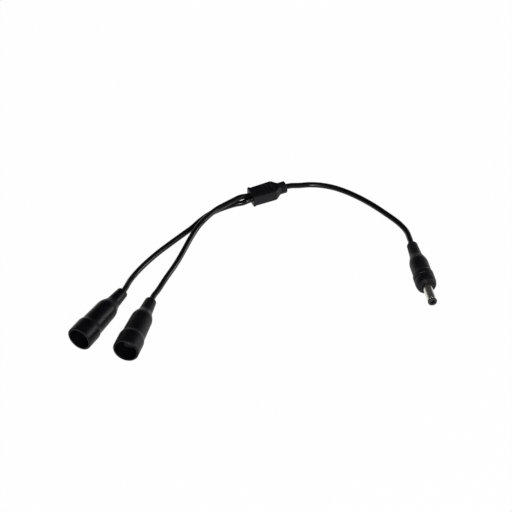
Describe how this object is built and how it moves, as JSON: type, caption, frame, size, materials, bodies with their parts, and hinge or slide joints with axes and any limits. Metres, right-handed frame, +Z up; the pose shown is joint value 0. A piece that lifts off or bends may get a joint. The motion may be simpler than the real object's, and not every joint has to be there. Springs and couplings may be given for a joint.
{
  "type": "helmet light splitter cable",
  "caption": "Moulded Y-splitter cable that feeds shrouded female barrel sockets from a male barrel plug.",
  "frame": {"origin": "under the middle of the box round the plug, the splitter and the sockets, on the surface that the cable lies on", "axes": "+X from the sockets towards the plug, -Y towards the open socket mouths, +Z up"},
  "size_m": [0.2132, 0.1499, 0.017],
  "materials": {
    "overmould": "satin black moulded PVC",
    "cable_jacket": "smooth black PVC jacket",
    "jack_insulator": "black moulded nylon",
    "nickel_contact": "bright nickel plate on brass",
    "red_insulation": "red PVC wire insulation",
    "black_insulation": "black PVC wire insulation",
    "shrink_tube": "black heat-shrink tube",
    "solder_joint": "tinned copper crimp, soldered"
  },
  "bodies": {
    "root": {"plug_housing": "overmould", "plug_barrel_sleeve": "nickel_contact", "plug_tip_insulator": "jack_insulator", "plug_centre_contact": "nickel_contact", "plug_sleeve_lug": "nickel_contact", "plug_base_insulator": "jack_insulator", "plug_positive_wire": "red_insulation", "plug_negative_wire": "black_insulation", "splitter_housing": "overmould", "splitter_trunk_positive_wire": "red_insulation", "splitter_trunk_negative_wire": "black_insulation", "splitter_left_positive_wire": "red_insulation", "splitter_left_negative_wire": "black_insulation", "splitter_right_positive_wire": "red_insulation", "splitter_right_negative_wire": "black_insulation", "splitter_positive_splice": "solder_joint", "splitter_negative_splice": "solder_joint", "splitter_positive_shrink_tube": "shrink_tube", "splitter_negative_shrink_tube": "shrink_tube", "left_socket_housing": "overmould", "left_socket_insulator": "jack_insulator", "left_socket_centre_pin": "nickel_contact", "left_socket_leaf_contact": "nickel_contact", "left_socket_positive_wire": "red_insulation", "left_socket_negative_wire": "black_insulation", "right_socket_housing": "overmould", "right_socket_insulator": "jack_insulator", "right_socket_centre_pin": "nickel_contact", "right_socket_leaf_contact": "nickel_contact", "right_socket_positive_wire": "red_insulation", "right_socket_negative_wire": "black_insulation", "trunk_cable": "cable_jacket", "left_branch_cable": "cable_jacket", "right_branch_cable": "cable_jacket"}
  },
  "joints": []
}
